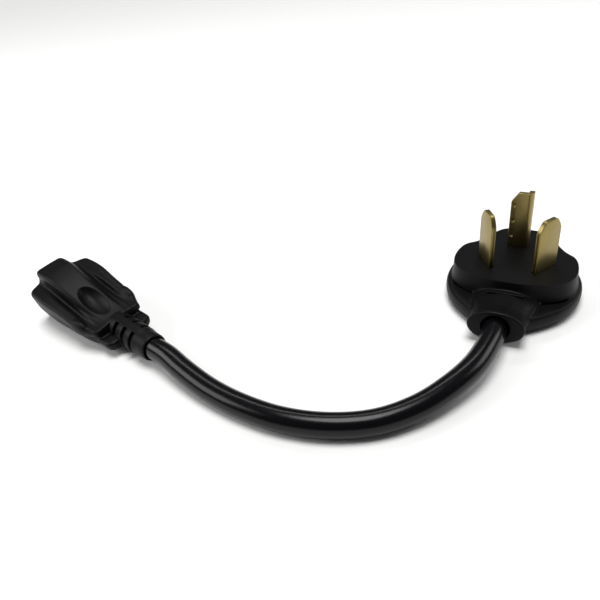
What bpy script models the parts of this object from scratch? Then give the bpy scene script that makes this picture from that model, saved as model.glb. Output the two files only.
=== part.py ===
"""A short adapter cord: a right-angle three-blade plug, a round cord and a three-hole connector.

Lengths are in millimetres and MM turns them into metres. The plug's frame has its origin between
the hot blades, +Y away from the cord and +Z along the blades. The connector's frame has its origin
at the foot of the front face, +X towards the cord and +Z towards the ground hole.
"""

import math

import bmesh
import bpy
from mathutils import Matrix, Vector

MM = 0.001
GAP = 0.3

# Where the two ends lie
PLUG_PLACE = (92.8, 0.2, 0.0)
PLUG_TURN = -28.6
CONNECTOR_PLACE = (-111.9, 31.4, 0.0)
CONNECTOR_TURN = -46.9
CONNECTOR_ROLL = 8.0

# Cord
CORD_RADIUS = 4.75
CORD_ROUTE = (
    (-49.2, -38.2, 6.4),
    (-38.8, -49.4, 5.2),
    (-26.6, -59.9, 4.9),
    (-12.2, -69.0, 4.9),
    (4.0, -74.3, 4.9),
    (20.6, -75.0, 5.0),
    (36.2, -70.6, 5.7),
    (49.8, -62.8, 6.9),
    (61.0, -53.4, 7.8),
)
CORD_LEAD = 9.0

# Plug
FACE_HEIGHT = 16.0
FLANGE_HEIGHT = 7.8
EDGE_ROUND = 1.0
FLANGE_PROFILE = ((0.0, -3.4), (1.2, -1.2), (3.2, -0.2), (5.0, 0.0), (6.6, -0.3), (FLANGE_HEIGHT, -0.8))
BOSS_DRAFT = 1.0
GROOVE_DEPTH = 0.7
FACE_HALF = (
    (0, -15.5), (5.5, -15.3), (11.5, -14.3), (17.5, -12.1), (22.5, -8.5), (25.2, -3), (25.6, 4.5),
    (23.6, 12), (19, 16.5), (15.6, 21.5), (13.3, 27), (9.8, 31.6), (5, 33.2), (0, 33.4),
)
FLANGE_HALF = (
    (0, -32.5), (6.3, -31.6), (11.8, -28.3), (17.2, -23.8), (23.1, -17), (27, -8.7), (28.6, 0),
    (28.1, 8.4), (25.4, 16.2), (21.4, 23.3), (17.1, 29.4), (12.1, 33.9), (6.1, 36.2), (0, 36.5),
)
OUTLINE_STEPS = 3
NECK_END = -38.5
NECK_SECTIONS = (
    (-9.0, 14.0, 0.6, 12.3), (-20.0, 13.0, 0.6, 12.4), (-27.0, 11.6, 0.7, 12.9),
    (-33.0, 11.0, 0.9, 14.1), (-37.4, 11.5, 1.0, 15.5), (NECK_END, 11.1, 1.3, 15.2),
)
NECK_SIDES = 40
COLLAR_HEIGHT = 8.3
BORE_RADIUS = 5.05
BORE_DEPTH = 5.5
DUCT_RADIUS = 3.9
DUCT_HEIGHT = 7.2
POCKET_INSET = 3.6
POCKET_FLOOR = 2.6
POCKET_ROOF = 13.0
CARRIER_FLOOR = 8.6
BAY = ((-9.9, 9.9), (-20.5, -9.0), (3.0, 8.2))

# Blades
BLADE_WIDTH = 12.7
BLADE_THICK = 2.2
BLADE_FOOT = 4.0
BLADE_LENGTH = 23.2
BLADE_SPACING = 24.4
BLADE_ANGLE = 32.0
BLADE_CORNER = 2.7
BLADE_CORNER_DROP = 4.2
NEUTRAL_LENGTH = 26.0
NEUTRAL_LEG = (-6.0, 2.9)
NEUTRAL_FRONT = 15.8
NEUTRAL_RETURN = 5.4
RETURN_DROP = 0.8

# Terminals and wires
BARREL_RADIUS = 2.0
BARREL_BORE = 1.25
BARREL_LENGTH = 4.8
STRAND_RADIUS = 0.95
WIRE_RADIUS = 1.4
TERMINAL_HEIGHT = 5.2
WIRE_GAP = 0.6
WIRE_LEAD = 2.6

# Connector body: station, half width, wing height, flute height, ridge half width, ridge height
STATIONS = (
    (0.0, 14.3, 15.7, 17.8, 6.9, 23.9),
    (0.9, 15.1, 16.5, 18.4, 7.4, 24.7),
    (8.0, 15.8, 17.0, 17.4, 7.4, 24.4),
    (15.0, 15.9, 17.1, 16.4, 7.4, 23.4),
    (22.0, 15.6, 16.4, 15.0, 7.3, 21.2),
    (29.0, 15.3, 15.2, 13.7, 7.0, 18.2),
    (36.0, 14.8, 13.7, 12.6, 6.6, 15.4),
    (41.0, 14.2, 12.7, 12.0, 6.4, 13.6),
    (44.5, 12.6, 12.2, 11.9, 6.2, 12.6),
    (47.5, 11.7, 11.8, 11.9, 6.0, 12.2),
)
FRONT_LAG = (1.4, 8.0)
FOOT = ((6.6, 0.0), (4.7, 0.5), (3.1, 2.2), (1.9, 5.2), (0.9, 8.7))
FLUTE_HALF = 8.8
SHOULDER = ((43.0, 55.5), 11.4)
SHOULDER_PROFILE = ((2.2, -2.2), (4.6, -0.2), (6.8, 0.0), (7.5, -0.7))
SHOULDER_ROUND = 3.0
INSERT_DEPTH = 22.0
RIDGE_INSERT_DEPTH = 14.5
INSERT_RECESS = 0.4
INSERT_SLAB = (11.4, 1.9, 12.6)
INSERT_RIDGE = (5.4, 22.1)
SLOT_HEIGHT = 6.5
SLOT_SPACING = 12.7
SLOT_THICK = 2.1
SLOT_SPANS = {"line": 6.8, "neutral": 8.2}
GROUND_HEIGHT = 18.4
GROUND_HOLE = 2.45
CELL = (5.6, 9.2)
CELL_START = 3.2
GROUND_CELL = 3.3
CHAMBER = ((21.0, 38.0), 10.8, (2.6, 11.2))
UPPER_CHAMBER = ((14.0, 24.5), 4.0, (8.0, 17.2))
REAR_CHAMBER = ((24.0, 28.6), 4.0, (8.0, 14.4))
THUMB_RECESS = ((33.0, 0.0, 20.9), (9.5, 5.5, 6.4))

# Boot
BOOT_HEIGHT = 6.3
BOOT_START = 40.0
BOOT_END = 72.5
BOOT_RADII = ((40.0, 4.9), (48.3, 4.9), (48.3, 6.5), (64.0, 6.4), (67.0, 5.9), (72.5, 5.75))
BOOT_SIDES = 32
BOOT_SLOTS = (51.6, 57.6, 63.4)
BOOT_SLOT_WIDTH = 2.2
BOOT_CORE = 5.1
SPINE_HALF = 1.5

BLACK_SATIN = ((0.012, 0.012, 0.013, 1), 0.45, 0.0)
BLACK_GLOSS = ((0.008, 0.008, 0.009, 1), 0.25, 0.0)
BRASS = ((0.45, 0.33, 0.12, 1), 0.28, 1.0)
COPPER = ((0.6, 0.25, 0.13, 1), 0.35, 1.0)
NYLON = ((0.05, 0.05, 0.055, 1), 0.5, 0.0)
WIRE_COLOURS = {
    "line": ((0.01, 0.01, 0.01, 1), 0.4, 0.0),
    "neutral": ((0.8, 0.8, 0.78, 1), 0.4, 0.0),
    "ground": ((0.02, 0.22, 0.05, 1), 0.4, 0.0),
}


def material(name, look):
    """One Principled material for each name, made the first time it is asked for."""
    found = bpy.data.materials.get(name)
    if found:
        return found
    made = bpy.data.materials.new(name)
    made.use_nodes = True
    shader = made.node_tree.nodes["Principled BSDF"]
    colour, roughness, metallic = look
    shader.inputs["Base Color"].default_value = colour
    shader.inputs["Roughness"].default_value = roughness
    shader.inputs["Metallic"].default_value = metallic
    return made


def add_object(name, data, parent, look):
    obj = bpy.data.objects.new(name, data)
    bpy.context.scene.collection.objects.link(obj)
    obj.parent = parent
    if look is None:
        obj.hide_render = True
        obj.display_type = "WIRE"
    else:
        data.materials.append(material(name, look))
    return obj


def loft(name, rings, parent, look=None):
    """A closed solid through rings of (x, y, z), flat at both ends."""
    bm = bmesh.new()
    loops = [[bm.verts.new(Vector(point) * MM) for point in ring] for ring in rings]
    count = len(loops[0])
    for lower, upper in zip(loops, loops[1:]):
        for i in range(count):
            j = (i + 1) % count
            bm.faces.new((lower[i], lower[j], upper[j], upper[i]))
    caps = [bm.faces.new(loops[0][::-1]), bm.faces.new(loops[-1])]
    bmesh.ops.triangulate(bm, faces=caps)
    bmesh.ops.recalc_face_normals(bm, faces=bm.faces)
    mesh = bpy.data.meshes.new(name)
    bm.to_mesh(mesh)
    bm.free()
    mesh.shade_smooth()
    mesh.set_sharp_from_angle(angle=math.radians(35))
    return add_object(name, mesh, parent, look)


def box(name, spans, parent, look=None):
    (x0, x1), (y0, y1), (z0, z1) = spans
    corners = ((x0, y0), (x1, y0), (x1, y1), (x0, y1))
    return loft(name, [[(x, y, z) for x, y in corners] for z in (z0, z1)], parent, look)


def circle(radius, sides):
    angles = (2 * math.pi * i / sides for i in range(sides))
    return [(radius * math.cos(a), radius * math.sin(a)) for a in angles]


def turned(name, profile, axis, centre, sides, parent, look=None):
    """A round solid along X or Y: profile is (station, radius), centre the two other coordinates."""
    rings = []
    for station, radius in profile:
        ring = []
        for a, b in circle(radius, sides):
            side, height = centre[0] + a, centre[1] + b
            ring.append((station, side, height) if axis == "X" else (side, station, height))
        rings.append(ring)
    return loft(name, rings, parent, look)


def change(obj, operation, other):
    """Joins the other solid to this one, or cuts it away."""
    modifier = obj.modifiers.new(other.name, "BOOLEAN")
    modifier.operation = operation
    modifier.object = other
    modifier.solver = "EXACT"


def through_points(points, closed, steps):
    """A smooth line through the points, in steps from each one to the next."""
    count = len(points)
    line = []
    for i in range(count if closed else count - 1):
        four = []
        for j in range(i - 1, i + 3):
            four.append(Vector(points[j % count] if closed else points[min(max(j, 0), count - 1)]))
        before, start, end, after = four
        for k in range(steps):
            t = k / steps
            bend = 2 * before - 5 * start + 4 * end - after
            twist = 3 * (start - end) + after - before
            line.append(start + 0.5 * (t * (end - before) + t * t * bend + t ** 3 * twist))
    if not closed:
        line.append(Vector(points[-1]))
    return line


def mirrored_outline(half):
    """The smooth closed outline whose right half is given from the near end to the far end."""
    left = [(-x, y) for x, y in half[-2:0:-1]]
    return through_points(list(half) + left, True, OUTLINE_STEPS)


def offset(outline, distance):
    """The outline moved outwards along its normals, or inwards for a negative distance."""
    count = len(outline)
    moved = []
    for i, point in enumerate(outline):
        along = outline[(i + 1) % count] - outline[i - 1]
        moved.append(point + Vector((along.y, -along.x)).normalized() * distance)
    return moved


def at_height(outline, z):
    return [(point[0], point[1], z) for point in outline]


def bent_tube(name, points, radius, parent, look, resolution=2, steps=4):
    """A round tube with closed ends along a smooth line through the points."""
    line = through_points(points, False, steps)
    curve = bpy.data.curves.new(name, "CURVE")
    curve.dimensions = "3D"
    curve.bevel_depth = radius * MM
    curve.bevel_resolution = resolution
    curve.use_fill_caps = True
    spline = curve.splines.new("POLY")
    spline.points.add(len(line) - 1)
    for target, point in zip(spline.points, line):
        target.co = (*(point * MM), 1)
    return add_object(name, curve, parent, look)


def frame_empty(name, place, turn, roll=0.0):
    empty = bpy.data.objects.new(name, None)
    bpy.context.scene.collection.objects.link(empty)
    empty.location = Vector(place) * MM
    empty.rotation_euler = (math.radians(roll), 0, math.radians(turn))
    return empty


def rolled_place(place, turn, roll):
    """Where a rolled section's origin goes, so that the edge of its flat underside touches the table."""
    flat = STATIONS[3][1] - FOOT[0][0]
    angle = math.radians(roll)
    side = flat * (math.cos(angle) - 1)
    rise = flat * math.sin(angle)
    shift = Matrix.Rotation(math.radians(turn), 3, "Z") @ Vector((0, side, 0))
    return Vector(place) + shift + Vector((0, 0, rise))


# ---- Plug ----


def blade_outline(width, foot, tip):
    """A blade's flat shape across its width, with both tip corners cut."""
    half = width / 2
    shoulder = tip - BLADE_CORNER_DROP
    inner = half - BLADE_CORNER
    return ((-half, foot), (half, foot), (half, shoulder), (inner, tip), (-inner, tip), (-half, shoulder))


def hot_blade(name, side, parent, look=None, grow=0.0):
    """A flat blade, leaning outwards to its far end; grow makes the cutter for its slot."""
    angle = math.radians(BLADE_ANGLE) * side
    along = Vector((math.sin(angle), math.cos(angle), 0))
    across = Vector((math.cos(angle), -math.sin(angle), 0))
    centre = Vector((side * BLADE_SPACING / 2, 0, 0))
    tip = FACE_HEIGHT + BLADE_LENGTH
    outline = blade_outline(BLADE_WIDTH + 2 * grow, BLADE_FOOT - grow, tip)
    rings = []
    for half in (-BLADE_THICK / 2 - grow, BLADE_THICK / 2 + grow):
        rings.append([centre + along * u + across * half + Vector((0, 0, z)) for u, z in outline])
    return loft(name, rings, parent, look)


def neutral_section(grow=0.0):
    """The L-shaped section, from the outer corner of its long leg."""
    x0, x1 = NEUTRAL_LEG
    y0, y1 = NEUTRAL_FRONT, NEUTRAL_FRONT + NEUTRAL_RETURN
    inner_x, inner_y = x1 - BLADE_THICK, y0 + BLADE_THICK
    return (
        (x0 - grow, y0 - grow), (x1 + grow, y0 - grow), (x1 + grow, y1 + grow),
        (inner_x - grow, y1 + grow), (inner_x - grow, inner_y + grow), (x0 - grow, inner_y + grow),
    )


def neutral_blade(name, parent, look=None, grow=0.0):
    """The L-shaped blade, with the free corners of its two legs cut."""
    tip = FACE_HEIGHT + NEUTRAL_LENGTH
    section = neutral_section(grow)
    blade = loft(name, [at_height(section, z) for z in (BLADE_FOOT - grow, tip)], parent, look)
    if look is None:
        return blade
    corner = NEUTRAL_LEG[0]
    outer, inner = corner - 2, corner + BLADE_CORNER
    low = tip - BLADE_CORNER_DROP
    wedge = []
    for y in (NEUTRAL_FRONT - 2, NEUTRAL_FRONT + BLADE_THICK + 2):
        flat = ((corner, low), (inner, tip), (inner, tip + 2), (outer, tip + 2), (outer, low))
        wedge.append([(x, y, z) for x, z in flat])
    change(blade, "DIFFERENCE", loft("neutral_corner_cut", wedge, parent))
    far = NEUTRAL_FRONT + NEUTRAL_RETURN
    near, drop = NEUTRAL_FRONT + BLADE_THICK, tip - RETURN_DROP
    slope = []
    for x in (NEUTRAL_LEG[1] - 4, NEUTRAL_LEG[1] + 2):
        flat = ((near, tip), (far, drop), (far + 2, drop), (far + 2, tip + 2), (near, tip + 2))
        slope.append([(x, y, z) for y, z in flat])
    change(blade, "DIFFERENCE", loft("return_corner_cut", slope, parent))
    return blade


def overmould_rings():
    """The plug's rings: the flange's rounded rim, the groove above it, then the tapering boss."""
    face = mirrored_outline(FACE_HALF)
    flange = mirrored_outline(FLANGE_HALF)
    return [at_height(offset(flange, inset), z) for z, inset in FLANGE_PROFILE] + [
        at_height(offset(face, BOSS_DRAFT + GROOVE_DEPTH), FLANGE_HEIGHT),
        at_height(offset(face, BOSS_DRAFT), FLANGE_HEIGHT - GROOVE_DEPTH),
        at_height(offset(face, EDGE_ROUND / 4), FACE_HEIGHT - EDGE_ROUND),
        at_height(offset(face, -EDGE_ROUND), FACE_HEIGHT),
    ]


def neck_rings():
    rings = []
    for y, half_width, low, high in NECK_SECTIONS:
        middle, half_height = (low + high) / 2, (high - low) / 2
        ring = []
        for a, b in circle(1.0, NECK_SIDES):
            ring.append((a * half_width, y, middle + b * half_height))
        rings.append(ring)
    return rings


def plug_overmould(parent):
    body = loft("plug_overmould", overmould_rings(), parent, BLACK_SATIN)
    change(body, "UNION", loft("neck_shape", neck_rings(), parent))
    pocket = offset(mirrored_outline(FACE_HALF), -POCKET_INSET)
    pocket_rings = [at_height(pocket, z) for z in (POCKET_FLOOR, POCKET_ROOF)]
    change(body, "DIFFERENCE", loft("carrier_pocket", pocket_rings, parent))
    change(body, "DIFFERENCE", box("terminal_bay", BAY, parent))
    bore_floor = NECK_END + BORE_DEPTH
    bore = ((NECK_END - 1, BORE_RADIUS), (bore_floor, BORE_RADIUS))
    change(body, "DIFFERENCE", turned("cord_bore", bore, "Y", (0, COLLAR_HEIGHT), 32, parent))
    duct = ((bore_floor - 0.5, DUCT_RADIUS), (BAY[1][1], DUCT_RADIUS))
    change(body, "DIFFERENCE", turned("wire_duct", duct, "Y", (0, DUCT_HEIGHT), 20, parent))
    for side, name in ((-1, "left"), (1, "right")):
        change(body, "DIFFERENCE", hot_blade(f"face_slot_{name}", side, parent, grow=GAP))
    change(body, "DIFFERENCE", neutral_blade("face_slot_neutral", parent, grow=GAP))


def blade_carrier(parent):
    outline = offset(mirrored_outline(FACE_HALF), -POCKET_INSET - GAP)
    rings = [at_height(outline, z) for z in (CARRIER_FLOOR, POCKET_ROOF - GAP)]
    carrier = loft("blade_carrier", rings, parent, NYLON)
    for side, name in ((-1, "left"), (1, "right")):
        change(carrier, "DIFFERENCE", hot_blade(f"carrier_slot_{name}", side, parent, grow=GAP))
    change(carrier, "DIFFERENCE", neutral_blade("carrier_slot_neutral", parent, grow=GAP))


def barrel(name, axis, start, centre, parent):
    """A crimp barrel: a short tube that takes the stripped end of a wire."""
    ends = (start, start + BARREL_LENGTH)
    body = turned(name, [(s, BARREL_RADIUS) for s in ends], axis, centre, 16, parent, BRASS)
    hole = [(ends[0] - 1, BARREL_BORE), (ends[1] + 1, BARREL_BORE)]
    change(body, "DIFFERENCE", turned(f"{name}_bore", hole, axis, centre, 12, parent))


def plug_wiring(parent):
    """Each blade's crimp barrel, stripped strand and insulated wire."""
    entry = NECK_END + BORE_DEPTH + GAP
    low, high = DUCT_HEIGHT - 0.9, DUCT_HEIGHT + 2.1
    hot_front = -6.4
    neutral_front = NEUTRAL_FRONT - 0.6
    neutral_route = ((0, entry, high), (0, -21, 8.6), (-0.5, -8, 6.6), (-2, 3, 5.3))
    places = {
        "line_left": (-7.6, hot_front, ((-1.8, entry, low), (-2.0, -21, low), (-4.6, -16.4, 5.6))),
        "line_right": (7.6, hot_front, ((1.8, entry, low), (2.0, -21, low), (4.6, -16.4, 5.6))),
        "neutral": (-2.0, neutral_front, neutral_route),
    }
    for name, (x, front, route) in places.items():
        rear = front - BARREL_LENGTH
        kind = name.split("_")[0]
        barrel(f"plug_crimp_{name}", "Y", rear, (x, TERMINAL_HEIGHT), parent)
        ends = tuple((x, rear - step, TERMINAL_HEIGHT) for step in (WIRE_LEAD, WIRE_GAP))
        bent_tube(f"plug_wire_{name}", route + ends, WIRE_RADIUS, parent, WIRE_COLOURS[kind])
        strand = ((rear - 0.2, STRAND_RADIUS), (front - 0.4, STRAND_RADIUS))
        turned(f"plug_strand_{name}", strand, "Y", (x, TERMINAL_HEIGHT), 10, parent, COPPER)


def make_plug():
    parent = frame_empty("plug_frame", PLUG_PLACE, PLUG_TURN)
    plug_overmould(parent)
    blade_carrier(parent)
    hot_blade("line_blade_left", -1, parent, BRASS)
    hot_blade("line_blade_right", 1, parent, BRASS)
    neutral_blade("neutral_blade", parent, BRASS)
    plug_wiring(parent)
    return parent


# ---- Connector ----


def body_ring(station):
    """One T-shaped section: rounded foot, side, wing, flute and ridge, then the same mirrored."""
    x, half, wing, flute, ridge_half, ridge = station
    flute_half = min(FLUTE_HALF, half - 3.2)
    side = max(ridge_half, flute_half - 0.9)
    rise = ridge - flute
    right = [(half - inset, z) for inset, z in FOOT]
    right += [
        (half, wing - 2.4), (half - 0.3, wing - 0.7), (half - 1.4, wing),
        (flute_half + 1.2, (wing + flute) / 2), (flute_half, flute),
        (side, flute + 0.35 * rise), (ridge_half, ridge - min(2.0, 0.5 * rise)),
        (ridge_half - 0.7, ridge - min(0.6, 0.2 * rise)), (ridge_half - 2.4, ridge),
    ]
    outline = right + [(-y, z) for y, z in reversed(right)]
    most, fade = FRONT_LAG
    lag = most * max(0.0, 1 - x / fade)
    return [(x + lag * (y / half) ** 2, y, z) for y, z in outline]


def ellipsoid(name, centre, half_sizes, parent, rings=14, sides=24):
    """A cutter shaped like an egg, lofted along X."""
    sections = []
    for i in range(rings):
        angle = math.pi * (i + 0.5) / rings
        x = centre[0] - half_sizes[0] * math.cos(angle)
        size = math.sin(angle)
        ring = []
        for a, b in circle(size, sides):
            ring.append((x, centre[1] + a * half_sizes[1], centre[2] + b * half_sizes[2]))
        sections.append(ring)
    return loft(name, sections, parent)


def shoulder_shape(parent):
    """The low tongue behind the body, whose rounded corners flank the boot."""
    (start, end), half = SHOULDER
    plan = [(start, -half), (end - SHOULDER_ROUND, -half)]
    for step in range(1, 6):
        angle = math.radians(-90 + 15 * step)
        x = end + SHOULDER_ROUND * (math.cos(angle) - 1)
        plan.append((x, -half + SHOULDER_ROUND * (1 + math.sin(angle))))
    plan.append((end, -half + SHOULDER_ROUND))
    plan += [(x, -y) for x, y in reversed(plan)]
    rings = []
    for z, inset in SHOULDER_PROFILE:
        scale = (half + inset) / half
        rings.append([(start + (x - start) * (1 + inset / (end - start)), y * scale, z) for x, y in plan])
    return loft("shoulder_shape", rings, parent)


def insert_shape(name, parent, look=None, grow=0.0):
    """The T-shaped block behind the front face; grow makes the cutter for its pocket."""
    half, low, high = INSERT_SLAB
    start = INSERT_RECESS if look else -1.0
    slab = ((start, INSERT_DEPTH + grow), (-half - grow, half + grow), (low - grow, high + grow))
    block = box(name, slab, parent, look)
    ridge_half, top = INSERT_RIDGE
    ridge = (
        (start, RIDGE_INSERT_DEPTH + grow),
        (-ridge_half - grow, ridge_half + grow),
        (high - 2, top + grow),
    )
    change(block, "UNION", box(f"{name}_ridge", ridge, parent))
    return block


def connector_overmould(parent):
    body = loft("connector_overmould", [body_ring(s) for s in STATIONS], parent, BLACK_SATIN)
    change(body, "UNION", shoulder_shape(parent))
    change(body, "DIFFERENCE", insert_shape("insert_pocket", parent, grow=GAP))
    change(body, "DIFFERENCE", ellipsoid("thumb_recess", *THUMB_RECESS, parent))
    rooms = {"chamber": CHAMBER, "upper_chamber": UPPER_CHAMBER, "rear_chamber": REAR_CHAMBER}
    for name, (x_span, half, z_span) in rooms.items():
        change(body, "DIFFERENCE", box(name, (x_span, (-half, half), z_span), parent))
    pocket = [(x - GAP, radius + GAP) for x, radius in BOOT_RADII[:3]]
    pocket.append((SHOULDER[0][1] + 1, BOOT_RADII[2][1] + GAP))
    pocket[0] = (CHAMBER[0][1] - 1, pocket[0][1])
    cutter = turned("boot_pocket", pocket, "X", (0, BOOT_HEIGHT), BOOT_SIDES, parent)
    change(body, "DIFFERENCE", cutter)


def front_insert(parent):
    """The rigid block that holds the contacts, with two slots and the ground hole in front."""
    block = insert_shape("front_insert", parent, NYLON)
    half_cell, half_height = CELL[0] / 2, CELL[1] / 2
    for name, side in (("line", 1), ("neutral", -1)):
        y = side * SLOT_SPACING / 2
        half = SLOT_SPANS[name] / 2
        across = (y - SLOT_THICK / 2, y + SLOT_THICK / 2)
        slot = ((-1, CELL_START + 1), across, (SLOT_HEIGHT - half, SLOT_HEIGHT + half))
        change(block, "DIFFERENCE", box(f"{name}_slot", slot, parent))
        height = (SLOT_HEIGHT - half_height + 0.4, SLOT_HEIGHT + half_height)
        cell = ((CELL_START, INSERT_DEPTH + 1), (y - half_cell, y + half_cell), height)
        change(block, "DIFFERENCE", box(f"{name}_cell", cell, parent))
    hole = ((-1, GROUND_HOLE), (CELL_START + 1, GROUND_HOLE))
    change(block, "DIFFERENCE", turned("ground_hole", hole, "X", (0, GROUND_HEIGHT), 24, parent))
    cell = ((CELL_START, GROUND_CELL), (RIDGE_INSERT_DEPTH + 1, GROUND_CELL))
    change(block, "DIFFERENCE", turned("ground_cell", cell, "X", (0, GROUND_HEIGHT), 24, parent))


def blade_contact(name, side, parent):
    """A folded strip that grips a blade between two leaves, open at the front."""
    y = side * SLOT_SPACING / 2
    start, end = CELL_START + 0.6, CELL_START + 15.5
    thick, mouth, waist = 0.7, 2.2, 1.2
    throat, heel = start + 3, end - 3
    outer = [(start, mouth), (throat, waist), (heel, waist + 0.5), (end, waist + 0.3)]
    inner = [(end - thick, waist - 0.3), (heel, waist - 0.2)]
    inner += [(throat, waist - thick), (start, mouth - thick)]
    half = outer + [(end, 0)]
    upper = [(x, y + u) for x, u in half]
    lower = [(x, y - u) for x, u in reversed(outer)]
    inside = [(x, y - u) for x, u in reversed(inner)] + [(x, y + u) for x, u in inner]
    plan = upper + lower + inside
    heights = (SLOT_HEIGHT - 3.9, SLOT_HEIGHT + 3.9)
    loft(name, [at_height(plan, z) for z in heights], parent, BRASS)


def ground_contact(parent):
    """A split sleeve for the round pin."""
    start, end = CELL_START + 0.6, RIDGE_INSERT_DEPTH - 0.4
    centre = (0, GROUND_HEIGHT)
    sleeve = turned("ground_contact", ((start, 3.0), (end, 3.0)), "X", centre, 24, parent, BRASS)
    bore = ((start - 1, 2.4), (end + 1, 2.4))
    change(sleeve, "DIFFERENCE", turned("ground_contact_bore", bore, "X", centre, 24, parent))
    slit = ((start - 1, end + 1), (-0.5, 0.5), (GROUND_HEIGHT + 1, GROUND_HEIGHT + 4))
    change(sleeve, "DIFFERENCE", box("ground_contact_slit", slit, parent))


def connector_wiring(parent):
    """Each contact's crimp barrel, stripped strand and insulated wire."""
    entry = BOOT_END - BORE_DEPTH - GAP
    low, high = BOOT_HEIGHT - 0.9, BOOT_HEIGHT + 2.0
    side = SLOT_SPACING / 2
    ground_route = (
        (22.6, 0, 14.3), (25.6, 0, 11.7), (29, 0, 9.2), (34, 0, high), (41, 0, high), (entry, 0, high),
    )
    places = {
        "line": ((side, SLOT_HEIGHT), 19.4, ((33.5, 4.6, 6.1), (41, 1.9, low), (entry, 1.8, low))),
        "neutral": ((-side, SLOT_HEIGHT), 19.4, ((33.5, -4.6, 6.1), (41, -1.9, low), (entry, -1.8, low))),
        "ground": ((0, 14.9), 15.0, ground_route),
    }
    for name, (centre, front, route) in places.items():
        rear = front + BARREL_LENGTH
        barrel(f"connector_crimp_{name}", "X", front, centre, parent)
        ends = tuple((rear + step, *centre) for step in (WIRE_GAP, WIRE_LEAD))
        bent_tube(f"connector_wire_{name}", ends + route, WIRE_RADIUS, parent, WIRE_COLOURS[name])
        strand = ((front + 0.4, STRAND_RADIUS), (rear + 0.2, STRAND_RADIUS))
        turned(f"connector_strand_{name}", strand, "X", centre, 10, parent, COPPER)


def strain_relief_boot(parent):
    """The ribbed boot: three slots on each side of a spine along its top and its bottom."""
    centre = (0, BOOT_HEIGHT)
    boot = turned("strain_relief_boot", BOOT_RADII, "X", centre, BOOT_SIDES, parent, BLACK_SATIN)
    for number, middle in enumerate(BOOT_SLOTS, start=1):
        ends = (middle - BOOT_SLOT_WIDTH / 2, middle + BOOT_SLOT_WIDTH / 2)
        rim = [(x, BOOT_RADII[2][1] + 2) for x in ends]
        ring = turned(f"slot_{number}", rim, "X", centre, BOOT_SIDES, parent)
        core = [(ends[0] - 1, BOOT_CORE), (ends[1] + 1, BOOT_CORE)]
        change(ring, "DIFFERENCE", turned(f"slot_core_{number}", core, "X", centre, BOOT_SIDES, parent))
        spine = ((ends[0] - 1, ends[1] + 1), (-SPINE_HALF, SPINE_HALF), (-5, 20))
        change(ring, "DIFFERENCE", box(f"slot_spine_{number}", spine, parent))
        change(boot, "DIFFERENCE", ring)
    bore_floor = BOOT_END - BORE_DEPTH
    bore = ((bore_floor, BORE_RADIUS), (BOOT_END + 1, BORE_RADIUS))
    change(boot, "DIFFERENCE", turned("boot_bore", bore, "X", centre, 32, parent))
    duct = ((BOOT_START - 1, DUCT_RADIUS), (bore_floor + 0.5, DUCT_RADIUS))
    change(boot, "DIFFERENCE", turned("boot_duct", duct, "X", centre, 20, parent))


def make_connector():
    place = rolled_place(CONNECTOR_PLACE, CONNECTOR_TURN, CONNECTOR_ROLL)
    parent = frame_empty("connector_frame", place, CONNECTOR_TURN, CONNECTOR_ROLL)
    connector_overmould(parent)
    front_insert(parent)
    blade_contact("line_contact", 1, parent)
    blade_contact("neutral_contact", -1, parent)
    ground_contact(parent)
    connector_wiring(parent)
    strain_relief_boot(parent)
    return parent


# ---- Cord ----


def make_cord(plug, connector):
    """The jacket, from the floor of the boot's bore to the floor of the collar's bore."""
    bpy.context.view_layer.update()
    boot_floor, collar_floor = BOOT_END - BORE_DEPTH + GAP, NECK_END + BORE_DEPTH - GAP
    boot = [(x, 0, BOOT_HEIGHT) for x in (boot_floor, BOOT_END, BOOT_END + CORD_LEAD)]
    collar = [(0, y, COLLAR_HEIGHT) for y in (NECK_END - CORD_LEAD, NECK_END, collar_floor)]
    start = [connector.matrix_world @ (Vector(p) * MM) / MM for p in boot]
    end = [plug.matrix_world @ (Vector(p) * MM) / MM for p in collar]
    points = start + [Vector(p) for p in CORD_ROUTE] + end
    bent_tube("cord_jacket", points, CORD_RADIUS, None, BLACK_GLOSS, resolution=4, steps=4)


def main():
    for obj in list(bpy.data.objects):
        bpy.data.objects.remove(obj)
    plug = make_plug()
    connector = make_connector()
    make_cord(plug, connector)


main()
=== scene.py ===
"""A short adapter cord: a right-angle three-blade plug, a round cord and a three-hole connector.

Shapes are written in millimetres in two local frames, and MM turns them into metres. The plug's
frame has its origin between the flat blades, +Y away from the cord and +Z along the blades. The
connector's frame has its origin at the foot of the front face, +X towards the cord.
"""

import math

import bmesh
import bpy
from mathutils import Euler, Matrix, Vector


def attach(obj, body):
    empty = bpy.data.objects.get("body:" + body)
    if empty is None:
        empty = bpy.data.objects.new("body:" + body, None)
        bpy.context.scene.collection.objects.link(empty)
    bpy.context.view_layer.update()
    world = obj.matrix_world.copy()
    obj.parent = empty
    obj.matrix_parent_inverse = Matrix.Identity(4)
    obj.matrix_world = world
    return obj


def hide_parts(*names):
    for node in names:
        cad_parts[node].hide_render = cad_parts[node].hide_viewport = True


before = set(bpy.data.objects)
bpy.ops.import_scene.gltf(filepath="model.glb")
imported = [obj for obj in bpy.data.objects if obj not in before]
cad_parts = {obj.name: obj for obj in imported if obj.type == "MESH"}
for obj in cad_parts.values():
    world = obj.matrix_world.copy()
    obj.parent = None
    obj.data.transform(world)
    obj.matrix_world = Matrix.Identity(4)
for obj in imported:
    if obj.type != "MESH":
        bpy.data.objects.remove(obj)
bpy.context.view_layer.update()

bl_info = {
    "name": "Adapter Cord",
    "version": (1, 0, 0),
    "blender": (4, 5, 0),
    "location": "3D View > Sidebar > Adapter Cord",
    "description": "Builds a plug, a cord and a connector, each piece as its own operator",
    "category": "Add Mesh",
}

MM = 0.001
VINYL_IOR = 1.53
ARC_STEPS = 8


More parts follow.
